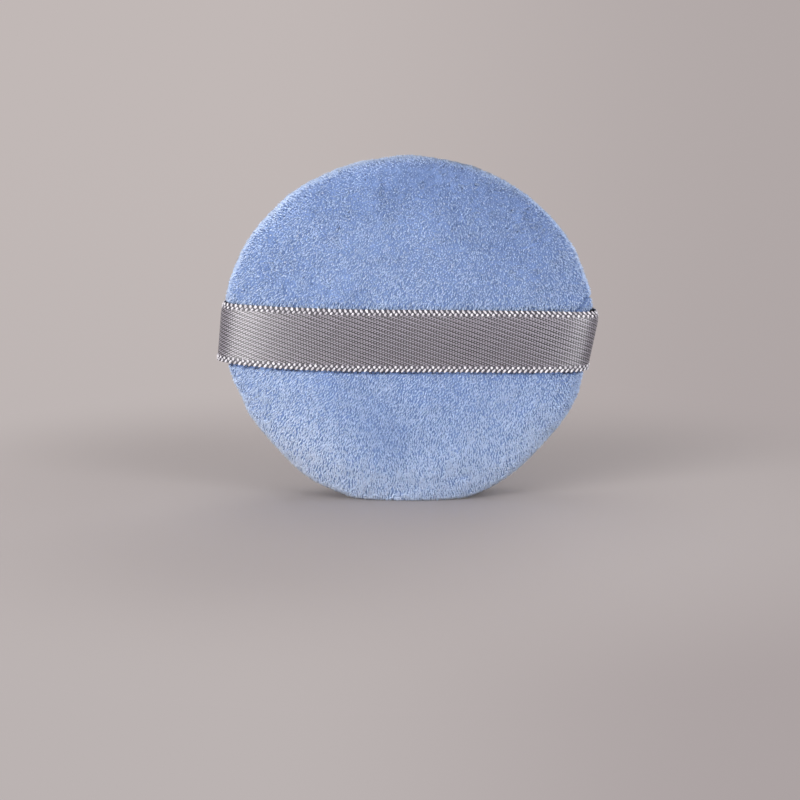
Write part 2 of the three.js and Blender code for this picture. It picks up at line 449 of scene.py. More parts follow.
# the two covers are one padded envelope, cut at the seam
cover = {
    "inset": 0.00060,            # the cloth starts this far under the solid's surface
    "segments": 120,
    "scale": 10,                 # the padding is simulated at this scale
    "voxel": 0.001,
    "pressure": 4,
    "frames": 20,
    "quality": 5,
    "mass": 0.15,
    "heldGroove": (0.0011, 0.0386),  # the cloth is held this near the seam plane, inside this radius
    "heldFoot": 0.001,               # and below this height
    "cap": 0.0006,
    "leastRise": 0.0003,         # the filling holds the cloth at least this far out
    "heldByRibbon": 0.6,         # share of that movement which the ribbon holds back
    "footClearance": 0.00015,
    "lumps": 0.00016,
    "lumpSize": 0.013,
    "puckers": 88,
    "puckerDepth": 0.00022,
    "puckerReach": 0.0022,
    "channel": 0.00035,
    "channelSoft": 0.0016,
    "allowance": 0.0045,
    "thickness": 0.0006,
    "seamParted": 0.00003,       # each cover's edge from the seam plane, and how much more at the ribbon's tails
    "ribbonParted": 0.00027,
    "partedFade": 0.0012,
}
# two short folds above the ribbon's right end: start and end as x and z, depth and half-width
folds = (
    ((0.0358, 0.0417), (0.0374, 0.0431), 0.0008, 0.00030),
    ((0.0372, 0.0440), (0.0388, 0.0441), 0.0007, 0.00026),
)


def band(points):
    # 1 under the ribbon on the front, and 0 away from it
    middle = puff["centre"][2] + ribbonMiddle(points[:, 0])
    edge = np.abs(points[:, 2] - middle) - ribbon["width"] / 2
    front = points[:, 1] < puff["centre"][1] - puff["rollDepth"] * 0.4
    return front / (1 + np.exp(np.clip(edge / (cover["channelSoft"] / 4), -30, 30)))


def inFolds(points, widening=1.0):
    # how deep each point of the ribbon side lies in the folds
    depths = np.zeros(len(points))
    flat = points[:, (0, 2)]
    for start, end, depth, halfWidth in folds:
        start, end = np.array(start), np.array(end)
        along = np.clip((flat - start) @ (end - start) / ((end - start) @ (end - start)), 0, 1)
        aside = np.linalg.norm(flat - start - along[:, None] * (end - start), axis=1)
        depths += (points[:, 1] < 0) * depth * np.exp(-((aside / halfWidth / widening) ** 2))
    return depths


def paddedEnvelope():
    inset = cover["inset"]
    radius = puff["halfWidth"] - inset
    section = []
    for side, height in ((1, puff["ribbonSideHeight"]), (-1, puff["powderSideHeight"])):
        half = np.vstack(
            (crown(radius, height - inset, 34), roll(radius, puff["grooveRadius"], 0.00005 if side > 0 else 0, 12))
        )
        half = half * (1, side)
        section.extend(half if side > 0 else half[::-1])
    envelope = spun("envelope", section, cover["segments"])
    movePoints(envelope, settled(pointsOf(envelope)))
    envelope.data.remesh_voxel_size = cover["voxel"]
    only(envelope)
    bpy.ops.object.voxel_remesh()
    start = pointsOf(envelope)
    padOut(envelope)
    moved = pointsOf(envelope) - start
    outward = normalsOf(envelope)
    moved += outward * np.maximum(cover["leastRise"] - (moved * outward).sum(1), 0)[:, None]
    length = np.linalg.norm(moved, axis=1, keepdims=True)
    moved *= np.minimum(1, cover["cap"] / np.maximum(length, 1e-9))
    moved *= 1 - cover["heldByRibbon"] * band(start)[:, None]
    grown = start + moved
    print(f"padding moved the cloth by {np.linalg.norm(moved, axis=1).mean() * 1000:.2f} mm on average")
    grown[:, 2] = np.maximum(grown[:, 2], cover["footClearance"])
    movePoints(envelope, grown)
    finishModifier(envelope, "SUBSURF", levels=1, render_levels=1)
    return envelope


def padOut(piece):
    start = pointsOf(piece)
    middle = np.array(puff["centre"])
    fromMiddle = start - middle
    near, within = cover["heldGroove"]
    groove = (np.abs(fromMiddle[:, 1]) < near) & (np.hypot(fromMiddle[:, 0], fromMiddle[:, 2]) < within)
    foot = start[:, 2] < cover["heldFoot"]
    group = piece.vertex_groups.new(name="held")
    group.add([int(i) for i in np.flatnonzero(groove | foot)], 1, "REPLACE")
    movePoints(piece, fromMiddle * cover["scale"])
    only(piece)
    bpy.ops.object.modifier_add(type="CLOTH")
    cloth = piece.modifiers[-1]
    cloth.settings.use_pressure = True
    cloth.settings.uniform_pressure_force = cover["pressure"]
    cloth.settings.effector_weights.gravity = 0
    cloth.settings.vertex_group_mass = group.name
    cloth.settings.quality = cover["quality"]
    cloth.settings.mass = cover["mass"]
    for number in range(1, cover["frames"] + 1):
        bpy.context.scene.frame_set(number)
    bpy.ops.object.modifier_apply(modifier=cloth.name)
    bpy.context.scene.frame_set(1)
    piece.vertex_groups.clear()
    movePoints(piece, pointsOf(piece) / cover["scale"] + middle)


def shapeCloth(piece):
    # lumps, seam puckers, the ribbon's channel and the folds
    points, outward = pointsOf(piece), normalsOf(piece)
    fromMiddle = points - puff["centre"]
    angle = np.arctan2(fromMiddle[:, 2], fromMiddle[:, 0])
    nearSeam = np.exp(-((fromMiddle[:, 1] / cover["puckerReach"]) ** 2))
    wobble = 0.8 * ripple(points, 0.02, 5)
    gathers = 0.5 - 0.5 * np.cos(cover["puckers"] * angle + wobble * 2)
    inward = cover["puckerDepth"] * nearSeam * gathers
    inward += cover["channel"] * band(points)
    inward -= cover["lumps"] * ripple(points, cover["lumpSize"], 11) * (1 - nearSeam)
    inward += inFolds(points)
    points -= outward * inward[:, None]
    points[:, 2] = np.maximum(points[:, 2], cover["footClearance"])
    movePoints(piece, points)


def partedAt(x, height):
    # how far each cover's edge is from the seam plane
    beyond = np.maximum(np.abs(height - ribbonMiddle(x)) - ribbon["width"] / 2, 0)
    return cover["seamParted"] + cover["ribbonParted"] * np.clip(1 - beyond / cover["partedFade"], 0, 1)


def cutCover(envelope, name, side):
    # side is 1 for the ribbon side, towards -Y
    only(envelope)
    bpy.ops.object.duplicate()
    piece = bpy.context.object
    piece.name = name
    with editing(piece):
        bpy.ops.mesh.select_all(action="SELECT")
        bpy.ops.mesh.bisect(
            plane_co=puff["centre"], plane_no=(0, 1, 0), clear_outer=side > 0, clear_inner=side < 0
        )
    points = pointsOf(piece)
    depth = -side * (points[:, 1] - puff["centre"][1])
    parted = partedAt(points[:, 0], points[:, 2] - puff["centre"][2])
    points[:, 1] -= side * parted * np.maximum(1 - depth / puff["rollDepth"], 0)
    movePoints(piece, points)
    return piece


def closeCover(piece, side):
    # the allowance turned in at the seam, and the cloth's thickness
    with editing(piece):
        bpy.ops.mesh.select_mode(type="EDGE")
        bpy.ops.mesh.select_all(action="DESELECT")
        bpy.ops.mesh.select_non_manifold()
        bpy.ops.mesh.extrude_edges_move(TRANSFORM_OT_translate={"value": (0, 0, 0)})
        shrunk = 1 - cover["allowance"] / puff["grooveRadius"]
        bpy.ops.transform.resize(value=(shrunk, 1, shrunk), center_override=puff["centre"])
        bpy.ops.mesh.select_all(action="SELECT")
        bpy.ops.mesh.normals_make_consistent(inside=False)
    finishModifier(piece, "SOLIDIFY", thickness=cover["thickness"], offset=-1)


envelope = paddedEnvelope()
shapeCloth(envelope)
ribbonSide = cutCover(envelope, "ribbon_side_velour", 1)
powderSide = cutCover(envelope, "powder_side_velour", -1)
bpy.data.objects.remove(envelope)
print("covers:", len(ribbonSide.data.polygons), "and", len(powderSide.data.polygons), "faces")

# the pile, strand by strand
pile = {
    "length": 0.00074,
    "lean": (37, 40),            # degrees from upright, above and below
    "leanChanges": (0.020, 0.036),
    "halfWidth": 0.000086,
    "sunk": 0.00010,
    "tuftsPerArea": 5.0e6,
    "samplesPerTuft": 8,
    "rounds": 6,
    "tuftRadius": 0.00019,
    "draw": 0.7,                 # how far strands of one tuft draw together
    "tuftTurn": 0.16,
    "strandTurn": 0.12,
    "swirl": 0.11,
    "swirlSize": 0.016,
    "patchSize": 0.015,
    "nap": (-0.5, 0, -1),
    "uprightBelow": 0.014,       # near the foot the nap points straight down
    "tuftTone": (1.25, 0.72),      # above and below
    "against": 0.90,             # how far a tuft's tone is set against its neighbours'
    "strandTone": 0.25,
    "patchTone": 0.05,
    "base": 0.68,
    "paintedRimSheen": 0.8,
    "mostInPiece": 48000,
    "lengthSpread": (0.85, 1.1),
    "widthSpread": (0.75, 1.25),
    "leanSpread": 5,             # degrees, for tufts and again for strands
    "leanRipple": (3, 0.012),    # degrees, and how far apart
    "longerByTone": 0.05,
    "rimReach": 0.006,
    "foldPaintedShade": -5,
    "foldFull": 0.0007,
}
# the pile just under the ribbon's lower edge, pressed flat, and painted dark as the shadow under the ribbon
pressedWithPaintedShadow = {"above": 0.0008, "below": 0.00044, "soft": 0.00006, "shorter": 0.15, "tone": -7}
# where strands are longer or shorter, as shares of their length
trims = {
    "overSeam": (0.35, 0.004),             # longer, within this depth of the seam
    "atTop": (0.35, 0.066, 0.007),         # shorter, from this height, over this much
    "underRibbon": 0.5,
    "besideRibbon": (0.25, 0.0005, 0.0006),
    "closing": (0.3, 0.0002, 0.0009),      # longer, this far under the ribbon's upper edge, reach
    "closingEnds": (0.034, 0.004),
    "inFolds": (1.4, 0.0009, 0.8),         # widening, depth at which it is full, most
    "ribbonEnds": (0.3, 0.0355, 0.0001),   # what is left, beyond this x, this far from the edge
    "ribbonEndsDepth": {1: 0.0075, -1: 0.0016},
}
pileTints = {
    # name: colour as a picture's numbers
    "pile_painted_shade": (36, 44, 70),
    "pile_shadow": (104, 127, 170),
    "pile_deep": (134, 157, 200),
    "pile_blue": (160, 181, 218),
    "pile_pale": (177, 196, 228),
    "pile_light": (189, 206, 234),
    "pile_frost": (200, 214, 238),
    "pile_white": (212, 222, 242),
}
tintSteps = (-3.0, -1.5, -0.5, 0.5, 1.5, 2.5, 3.5)
# where a hand has brushed the nap lighter or darker, and where painted light makes the lower half lighter and the top
# darker: x, z, reach and strength
napPatchesAndPaintedLight = (
    (-0.026, 0.018, 0.014, 1.4),
    (-0.008, 0.001, 0.014, 1.2),
    (0.018, 0.003, 0.013, 1.3),
    (0.028, 0.018, 0.012, 0.7),
    (0.000, 0.030, 0.010, 0.6),
    (0.000, 0.055, 0.012, 0.4),
    (0.026, 0.060, 0.013, -0.8),
    (-0.024, 0.009, 0.011, 1.5),
    (0.000, 0.002, 0.012, 0.8),
    (0.026, 0.012, 0.010, 0.4),
    (0.030, 0.050, 0.010, 0.4),
    (-0.016, 0.071, 0.012, -0.6),
    (0.002, 0.072, 0.011, -0.8),
)
# darker strokes of a finger, which end sharply at their right
strokes = (
    (-0.0040, 0.0125, 0.0060, -1.1),
    (-0.0060, 0.0180, 0.0060, -0.7),
    (-0.0150, 0.0235, 0.0065, -0.8),
)
strokesEnd = {"x": 0.0006, "soft": 0.0004}
brushLine = {
    "top": (0.0047, 0.0730),
    "bottom": (0.0064, 0.0560),
    "soft": 0.0006,
    "reach": 0.012,
    "tone": -0.55,
    "turn": 0.5,
}


def surfaceOf(piece):
    # corners and corner normals of its triangles
    piece.data.calc_loop_triangles()
    found = np.empty(len(piece.data.loop_triangles) * 3, np.int32)
    piece.data.loop_triangles.foreach_get("vertices", found)
    triangles = found.reshape(-1, 3)
    return pointsOf(piece)[triangles], normalsOf(piece)[triangles]


def scattered(surface, perArea, chance):
    corners, normals = surface
    area = np.linalg.norm(np.cross(corners[:, 1] - corners[:, 0], corners[:, 2] - corners[:, 0]), axis=1) / 2
    number = int(area.sum() * perArea)
    picked = chance.choice(len(area), number, p=area / area.sum())
    first, second = chance.random((2, number))
    over = first + second > 1
    first[over], second[over] = 1 - first[over], 1 - second[over]
    shares = np.column_stack((1 - first - second, first, second))[:, :, None]
    return (corners[picked] * shares).sum(1), unit((normals[picked] * shares).sum(1))


def napAt(points, normals, turn):
    # the pile's heading in the surface, brushed a little this way and that
    nap = np.tile(pile["nap"], (len(points), 1))
    nap[:, 0] *= np.clip(points[:, 2] / pile["uprightBelow"] - 0.4, 0, 1)
    heading = unit(nap - normals * (normals * nap).sum(1)[:, None])
    turned = pile["swirl"] * ripple(points, pile["swirlSize"], 21) + brushLine["turn"] * pastLine(points) + turn
    return heading * np.cos(turned)[:, None] + np.cross(normals, heading) * np.sin(turned)[:, None]


def pastLine(points):
    # 1 just right of the faint brush line on the ribbon side, and 0 left of it
    (topX, topZ), (bottomX, bottomZ) = brushLine["top"], brushLine["bottom"]
    share = np.clip((points[:, 2] - bottomZ) / (topZ - bottomZ), -0.5, 1.2)
    beyond = points[:, 0] - bottomX - (topX - bottomX) * share
    step = 1 / (1 + np.exp(np.clip(-beyond / brushLine["soft"], -30, 30)))
    fade = np.exp(-np.clip(beyond, 0, None) / brushLine["reach"])
    fade = fade * np.clip((points[:, 2] - bottomZ) / 0.004 + 1, 0, 1)
    return step * fade * (points[:, 1] < 0)


def underRibbon(points):
    # 1 on the ribbon side down to just past the ribbon's lower edge, where the pile is pressed flat and painted with
    # the ribbon's shadow
    fromEdge = ribbonMiddle(points[:, 0]) - ribbon["width"] / 2 - (points[:, 2] - puff["centre"][2])
    step = 1 + np.exp(np.clip((fromEdge - pressedWithPaintedShadow["below"]) / pressedWithPaintedShadow["soft"], -30, 30))
    return (fromEdge > -pressedWithPaintedShadow["above"]) / step


def strandLengths(points, side):
    # shorter where the ribbon lies on it and in the folds, longer beside the ribbon and over the seam
    length = np.ones(len(points))
    fromMiddle = points - puff["centre"]
    depth = -side * fromMiddle[:, 1]
    more, within = trims["overSeam"]
    length *= 1 + more * np.clip(1 - depth / within, 0, 1)
    less, fromHeight, over = trims["atTop"]
    length *= 1 - less * np.clip((points[:, 2] - fromHeight) / over, 0, 1)
    aboveMiddle = fromMiddle[:, 2] - ribbonMiddle(fromMiddle[:, 0])
    fromEdge = np.abs(aboveMiddle) - ribbon["width"] / 2
    if side > 0:
        # just above the ribbon the pile closes the gap behind its edge
        aboveEdge = aboveMiddle - ribbon["width"] / 2
        longer, under, reach = trims["closing"]
        endsAt, fade = trims["closingEnds"]
        closing = np.exp(-(((aboveEdge + under) / reach) ** 2))
        closing = closing * np.clip((endsAt - np.abs(points[:, 0])) / fade, 0, 1)
        more, at, reach = trims["besideRibbon"]
        beside = more * np.exp(-(((fromEdge - at) / reach) ** 2))
        length *= 1 - trims["underRibbon"] * band(points) * (1 - closing) + beside
        length *= 1 + longer * closing - pressedWithPaintedShadow["shorter"] * underRibbon(points)
        widening, full, most = trims["inFolds"]
        length *= 1 - np.minimum(inFolds(points, widening) / full, most)
    left, beyond, near = trims["ribbonEnds"]
    atRim = (np.abs(fromMiddle[:, 0]) > beyond) & (depth < trims["ribbonEndsDepth"][side])
    return np.where((fromEdge < near) & atRim, left, 1) * length


def stamped(name, model, frames, origins, finishes, worn):
    # a copy of the model at each origin, in each frame of three axes
    points = pointsOf(model)
    loops = np.empty(len(model.data.loops), np.int32)
    model.data.loops.foreach_get("vertex_index", loops)
    starts = np.empty(len(model.data.polygons), np.int32)
    model.data.polygons.foreach_get("loop_start", starts)
    copies = np.arange(len(origins))[:, None]
    mesh = bpy.data.meshes.new(name)
    mesh.vertices.add(copies.size * len(points))
    mesh.loops.add(copies.size * len(loops))
    mesh.polygons.add(copies.size * len(starts))
    placed = np.einsum("pa,nab->npb", points, frames) + origins[:, None]
    mesh.vertices.foreach_set("co", placed.astype(np.float32).ravel())
    mesh.loops.foreach_set("vertex_index", (loops + copies * len(points)).astype(np.int32).ravel())
    mesh.polygons.foreach_set("loop_start", (starts + copies * len(loops)).astype(np.int32).ravel())
    mesh.polygons.foreach_set("material_index", np.repeat(worn, len(starts)).astype(np.int32))
    mesh.polygons.foreach_set("use_smooth", np.ones(copies.size * len(starts), bool))
    for finish in finishes:
        mesh.materials.append(finish)
    mesh.update(calc_edges=True)
    piece = bpy.data.objects.new(name, mesh)
    bpy.context.scene.collection.objects.link(piece)
    return piece


def strandModel():
    # a three-sided spike, one unit long and one unit in radius
    bpy.ops.mesh.primitive_cone_add(vertices=3, radius1=1, radius2=0, depth=1, location=(0, 0, 0.5))
    strand = bpy.context.object
    only(strand)
    bpy.ops.object.transform_apply(location=True)
    return strand


def evenTufts(surface, chance):
    # tufts spaced evenly, as a knit has them, each with the surface's normal
    samples, normals = scattered(surface, pile["tuftsPerArea"] * pile["samplesPerTuft"], chance)
    number = len(samples) // pile["samplesPerTuft"]
    chosen = chance.choice(len(samples), number, replace=False)
    tufts, headings = samples[chosen], normals[chosen]
    for _ in range(pile["rounds"]):
        tree = KDTree(number)
        for i, point in enumerate(tufts):
            tree.insert(point, i)
        tree.balance()
        nearest = np.array([tree.find(point)[1] for point in samples])
        found = np.bincount(nearest, minlength=number)
        share = np.maximum(found, 1)[:, None]
        middles, means = (
            np.column_stack([np.bincount(nearest, field[:, axis], number) for axis in range(3)]) / share
            for field in (samples, normals)
        )
        tufts = np.where(found[:, None] > 0, middles, tufts)
        headings = np.where(found[:, None] > 0, means, headings)
    return tufts, unit(headings)


def setAgainst(tufts, tones):
    # each tone against those around it, so that the flecks stay small and even
    tree = KDTree(len(tufts))
    for i, point in enumerate(tufts):
        tree.insert(point, i)
    tree.balance()
    around = np.array([[found[1] for found in tree.find_n(point, 7)] for point in tufts])
    return tones - pile["against"] * tones[around].mean(1)


def growPile(name, surface, side, strandsInTuft, strand, tints, seed):
    chance = np.random.default_rng(seed)
    tufts, tuftNormals = evenTufts(surface, chance)
    tuft = np.repeat(np.arange(len(tufts)), strandsInTuft)
    number = len(tuft)
    tuftTurn = chance.normal(0, pile["tuftTurn"], len(tufts))
    tuftTone = setAgainst(tufts, chance.normal(0, 1, len(tufts)))
    tuftLean = chance.normal(0, pile["leanSpread"], len(tufts))
    normals = tuftNormals[tuft]
    spread = np.cross(normals, unit(chance.normal(size=(number, 3))))
    roots = tufts[tuft] + spread * pile["tuftRadius"]
    leanAt = np.interp(roots[:, 2], pile["leanChanges"], pile["lean"][::-1])
    rippled, apart = pile["leanRipple"]
    strandLean = chance.normal(0, pile["leanSpread"], number)
    lean = np.radians(leanAt + rippled * ripple(roots, apart, 33) + tuftLean[tuft] + strandLean)
    nap = napAt(roots, normals, tuftTurn[tuft] + chance.normal(0, pile["strandTurn"], number))
    heading = normals * np.cos(lean)[:, None] + nap * np.sin(lean)[:, None]
    length = pile["length"] * strandLengths(roots, side) * chance.uniform(*pile["lengthSpread"], number)
    length *= 1 + pile["longerByTone"] * tuftTone[tuft].clip(-2, 2)
    tips = roots + heading * length[:, None]
    middle = tips.reshape(-1, strandsInTuft, 3).mean(1)
    tips += (middle[tuft] - tips) * pile["draw"]
    bases = roots - normals * pile["sunk"]
    bases[:, 2] = np.maximum(bases[:, 2], 0.0001)
    tips[:, 2] = np.maximum(tips[:, 2], chance.uniform(0.00002, 0.0001, number))
    along = tips - bases
    across = unit(np.cross(along, chance.normal(size=(number, 3)))) * (
        pile["halfWidth"] * chance.uniform(*pile["widthSpread"], (number, 1))
    )
    aside = np.cross(unit(along), across)
    frames = np.stack((across, aside, along), axis=1)
    toneAt = np.interp(roots[:, 2], pile["leanChanges"], pile["tuftTone"][::-1])
    tone = pile["base"] + toneAt * tuftTone[tuft] + pile["strandTone"] * chance.normal(size=number)
    tone += pile["patchTone"] * ripple(roots, pile["patchSize"], 41)
    # painted sheen: strands near the seam, seen at a grazing angle round the rim, are lighter
    tone += pile["paintedRimSheen"] * np.clip(1 - np.abs(roots[:, 1] - puff["centre"][1]) / pile["rimReach"], 0, 1)
    if side > 0:
        tone += brushLine["tone"] * pastLine(roots)
        # brushed nap patches, and painted light: lighter low down, darker at the top
        for x, z, reach, strength in napPatchesAndPaintedLight:
            tone += strength * np.exp(-((roots[:, 0] - x) ** 2 + (roots[:, 2] - z) ** 2) / reach**2)
        stopped = 1 / (1 + np.exp(np.clip((roots[:, 0] - strokesEnd["x"]) / strokesEnd["soft"], -30, 30)))
        for x, z, reach, strength in strokes:
            tone += stopped * strength * np.exp(-((roots[:, 0] - x) ** 2 + (roots[:, 2] - z) ** 2) / reach**2)
        # painted shadow under the ribbon's lower edge
        tone += pressedWithPaintedShadow["tone"] * underRibbon(roots)
        # painted shade in the folds
        tone += pile["foldPaintedShade"] * np.minimum(inFolds(roots) / pile["foldFull"], 1)
    worn = np.digitize(tone, tintSteps)
    order = np.argsort(-roots[:, 2])
    pieces = []
    for part, chosen in enumerate(np.array_split(order, math.ceil(number / pile["mostInPiece"]))):
        piece = stamped(f"{name}_{part + 1}", strand, frames[chosen], bases[chosen], tints, worn[chosen])
        pieces.append(place(piece, piece.name))
    print(f"{name}: {number} strands in {len(pieces)} pieces")
    return pieces


def pileFinishes():
    made = []
    for name, colour in pileTints.items():
        finish = Finish(name, Base_Color=linear(*colour), Roughness=0.75, Specular_IOR_Level=0.25)
        finish.shader.inputs["Sheen Weight"].default_value = 0.2
        finish.shader.inputs["Sheen Roughness"].default_value = 0.4
        made.append(finish.material)
    return made


def velourFinish():
    cloth = Finish("velour", Roughness=0.9, Specular_IOR_Level=0.2)
    cloth.shader.inputs["Sheen Weight"].default_value = 0.3
    grain = cloth.noise(0.0006, 3)
    patches = cloth.noise(0.012, 2)
    tone = grain.over(0.3, 0.7) * 0.7 + patches.over(0.35, 0.65) * 0.3
    cloth.drive("Base Color", cloth.blend(tone, linear(86, 108, 150), linear(110, 132, 175)))
    cloth.bump(grain, 0.0003, 0.8)
    return cloth.material


strand = strandModel()
tints = pileFinishes()
growPile("ribbon_side_pile", surfaceOf(ribbonSide), 1, 5, strand, tints, 7)
growPile("powder_side_pile", surfaceOf(powderSide), -1, 4, strand, tints, 8)
bpy.data.objects.remove(strand)
velour = velourFinish()
for piece, side, node in ((ribbonSide, 1, "ribbon_side_cover"), (powderSide, -1, "powder_side_cover")):
    closeCover(piece, side)
    piece.data.materials.clear()
    piece.data.materials.append(velour)
    only(piece)
    bpy.ops.object.shade_smooth()
    place(piece, piece.name)
    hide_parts(node)

# the woven edges of the finger ribbon, two staggered rows of short floats
selvedge = {
    "pitch": 0.00113,
    "outerInset": 0.00030,
    "innerInset": 0.00094,
    "alongHalf": 0.00028,
    "acrossHalf": 0.00052,
    "outHalf": 0.00018,
    "slant": -0.5,
    "innerShare": 0.72,          # how long the inner row's floats are beside the outer row's
}
# the satin's floats, dots in columns that also run into slanting and shallow lines
satinWeave = {
    # pitch along and across the ribbon in millimetres
    "columns": (0.570, 0),
    "rising": (0.99, -0.545),
    "falling": (1.34, 0.534),
    "shallow": (3.6, 0.99),
    "shares": {"columns": 0.22, "rising": 0.27, "falling": 0.27, "shallow": 0.17},
    "slant": 0.21,
    "endsFade": (19, 31),        # millimetres from each end, between which the weave changes its look
    "margin": (1.12, 1.27),
}


def ribbonRow(widthShare):
    # the ribbon's centre line at a share of its width, 0 at the bottom edge and 1 at the top
    rows = []
    for end in ribbonEnds:
        power = end["power"]
        loose = end["looseBottom"] + (end["looseTop"] - end["looseBottom"]) * widthShare
        loose -= end["curl"] * max(widthShare - ribbon["curlFrom"], 0) ** 2 / (1 - ribbon["curlFrom"]) ** 2
        reach = puff["halfWidth"] + ribbon["standsOff"] + loose
        seam, rolled = puff["seamRadius"], puff["rollDepth"]
        bend = np.linspace(0, math.pi / 2, 24)
        front = np.linspace(0, math.pi / 2, 120)[1:]
        across = np.concatenate(
            (
                [seam - ribbon["tail"]],
                seam + (reach - seam) * np.sin(bend),
                reach * np.abs(np.cos(front)) ** (2 / power),
            )
        )
        depth = np.concatenate(
            ([0], rolled * (1 - np.cos(bend)), rolled + (ribbon["depth"] - rolled) * np.sin(front) ** (2 / power))
        )
        across[-1] = 0
        x = end["side"] * across
        narrow = ribbon["gather"] * (across / puff["halfWidth"]) ** ribbon["pullPower"]
        z = ribbonMiddle(x) + (widthShare - 0.5) * (ribbon["width"] - narrow)
        rows.append(np.column_stack((x, -depth, z)))
    line = np.vstack((rows[0], rows[1][::-1][1:])) + puff["centre"]
    return line


def evenly(line, shares):
    # places at shares of the line's length
    run = np.concatenate(([0], np.cumsum(np.linalg.norm(np.diff(line, axis=0), axis=1))))
    return np.column_stack([np.interp(shares * run[-1], run, line[:, k]) for k in range(3)]), run[-1]


def ribbonPlaces(along, widthShares):
    # along and widthShares are arrays of one length, and widthShares has few different values
    found = np.zeros((len(along), 3))
    for share in np.unique(widthShares.round(7)):
        here = np.abs(widthShares - share) < 1e-6
        found[here] = evenly(ribbonRow(share), along[here])[0]
    return found


def makeRibbon():
    bpy.ops.mesh.primitive_grid_add(x_subdivisions=ribbon["columns"], y_subdivisions=ribbon["rows"], size=1)
    piece = bpy.context.object
    flat = pointsOf(piece) + 0.5
    movePoints(piece, ribbonPlaces(flat[:, 0], flat[:, 1]))
    with editing(piece):
        bpy.ops.mesh.select_all(action="SELECT")
        bpy.ops.mesh.flip_normals()
    front = pointsOf(piece)[len(flat) // 2], normalsOf(piece)[len(flat) // 2]
    print("ribbon faces the viewer:", bool(front[1][1] < 0))
    finishModifier(piece, "SOLIDIFY", thickness=ribbon["thickness"], offset=0)
    only(piece)
    bpy.ops.object.shade_smooth()
    return piece


def satinFinish(length):
    satin = Finish("ribbon_satin", Specular_IOR_Level=1.0, Anisotropic=0.7, Anisotropic_Rotation=0.25)
    along, across, _ = satin.parts(satin.coordinates("UV"))
    across = across * ribbon["width"] * 1000
    # the rows of the mesh slant with the puff's sides, and the cloth's threads stay square to its edges
    along = along * length * 1000 + (across - ribbon["width"] * 500) * satinWeave["slant"]
    fromEdge = ribbon["width"] * 500 - (across - ribbon["width"] * 500).distance()
    stray = (satin.noise(0.004, 2) - 0.5) * 0.12

    def lines(pitchAlong, pitchAcross):
        turn = 2 * math.pi
        phase = (along + stray) * (turn / pitchAlong)
        return (phase + (across - stray) * (turn / pitchAcross) if pitchAcross else phase).sine()

    inner, outer = satinWeave["endsFade"]
    atLeft = 1 - along.over(inner, outer)
    atRight = along.over(length * 1000 - outer, length * 1000 - inner)
    kinds = ("columns", "rising", "falling", "shallow")
    columns, rising, falling, shallow = (lines(*satinWeave[kind]) for kind in kinds)
    share = satinWeave["shares"]
    weave = columns * share["columns"] * (1 - atLeft * 0.6)
    weave += rising * (share["rising"] - atRight * 0.12) + falling * (share["falling"] - atLeft * 0.10)
    weave = (weave + shallow * share["shallow"] + 0.5).over(0.24, 0.76)
    body = satin.blend(weave, linear(6, 6, 9), linear(128, 124, 134))
    # painted shade: the margin along each edge is darkened for the gaps between the selvedge floats
    margin = 1 - fromEdge.over(*satinWeave["margin"])
    satin.drive("Base Color", satin.blend(margin, body, linear(46, 44, 54)))
    satin.drive("Roughness", 0.50 - weave * 0.12 + margin * 0.2)
    satin.bump(weave, 0.00005, 0.6)
    return satin.material


def beadFinish():
    yarn = Finish("selvedge_yarn", Roughness=0.45, Specular_IOR_Level=0.5)
    lustre = yarn.noise(0.0004, 1).over(0.35, 0.65)
    yarn.drive("Base Color", yarn.blend(lustre, linear(160, 157, 164), linear(208, 206, 212)))
    return yarn.material


def makeSelvedge(name, edge, length, finish):
    # two staggered rows of short floats along one edge of the ribbon
    bpy.ops.mesh.primitive_uv_sphere_add(segments=8, ring_count=5, radius=1)
    bead = bpy.context.object
    number = int(length / selvedge["pitch"])
    origins, frames = [], []
    for row, inset in enumerate((selvedge["outerInset"], selvedge["innerInset"])):
        share = inset / ribbon["width"] if edge < 0 else 1 - inset / ribbon["width"]
        along = (np.arange(number) + 0.25 + 0.5 * row) / number
        at = ribbonPlaces(along, np.full(number, share))
        ahead = ribbonPlaces(along + 0.0004, np.full(number, share))
        beside = ribbonPlaces(along, np.full(number, share + 0.01))
        run, wide = unit(ahead - at), unit(beside - at)
        out = unit(np.cross(run, wide))
        slant = selvedge["slant"] * (1 if row else -1) * edge
        turned = run * math.cos(slant) + wide * math.sin(slant)
        upward = wide * math.cos(slant) - run * math.sin(slant)
        across = selvedge["acrossHalf"] * (selvedge["innerShare"] if row else 1)
        frames.append(np.stack((turned * selvedge["alongHalf"], upward * across, out * selvedge["outHalf"]), axis=1))
        origins.append(at + out * ribbon["thickness"] * 0.5)
    piece = stamped(
        name, bead, np.vstack(frames), np.vstack(origins), [finish], np.zeros(2 * number, int)
    )
    bpy.data.objects.remove(bead)
    return place(piece, name)


ribbonLength = evenly(ribbonRow(0.5), np.array([0.0]))[1]
strip = makeRibbon()
strip.data.materials.clear()
strip.data.materials.append(satinFinish(ribbonLength))
place(strip, "satin_finger_ribbon")
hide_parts("finger_ribbon")
yarn = beadFinish()
edges = [
    makeSelvedge(f"ribbon_selvedge_{name}", edge, ribbonLength, yarn) for name, edge in (("lower", -1), ("upper", 1))
]
print(f"ribbon: {ribbonLength * 1000:.1f} mm long")

# the filling: a die-cut foam disc, and fibre wadding round it on each side
filling = {
    "foamRadius": 0.0327,
    "foamHalf": 0.004,
    "foamEdge": 0.001,
    "fit": 0.0003,
    "waddingRadius": 0.0381,
    "waddingInset": 0.0019,      # from the cover's outside
    "skirtRadius": 0.03655,
    "skirtDepth": 0.00225,
    "keptUp": 0.0014,            # above the floor, where the covers are pressed flat
    "lumps": 0.00012,
    "lumpSize": 0.006,
    "segments": 128,
}


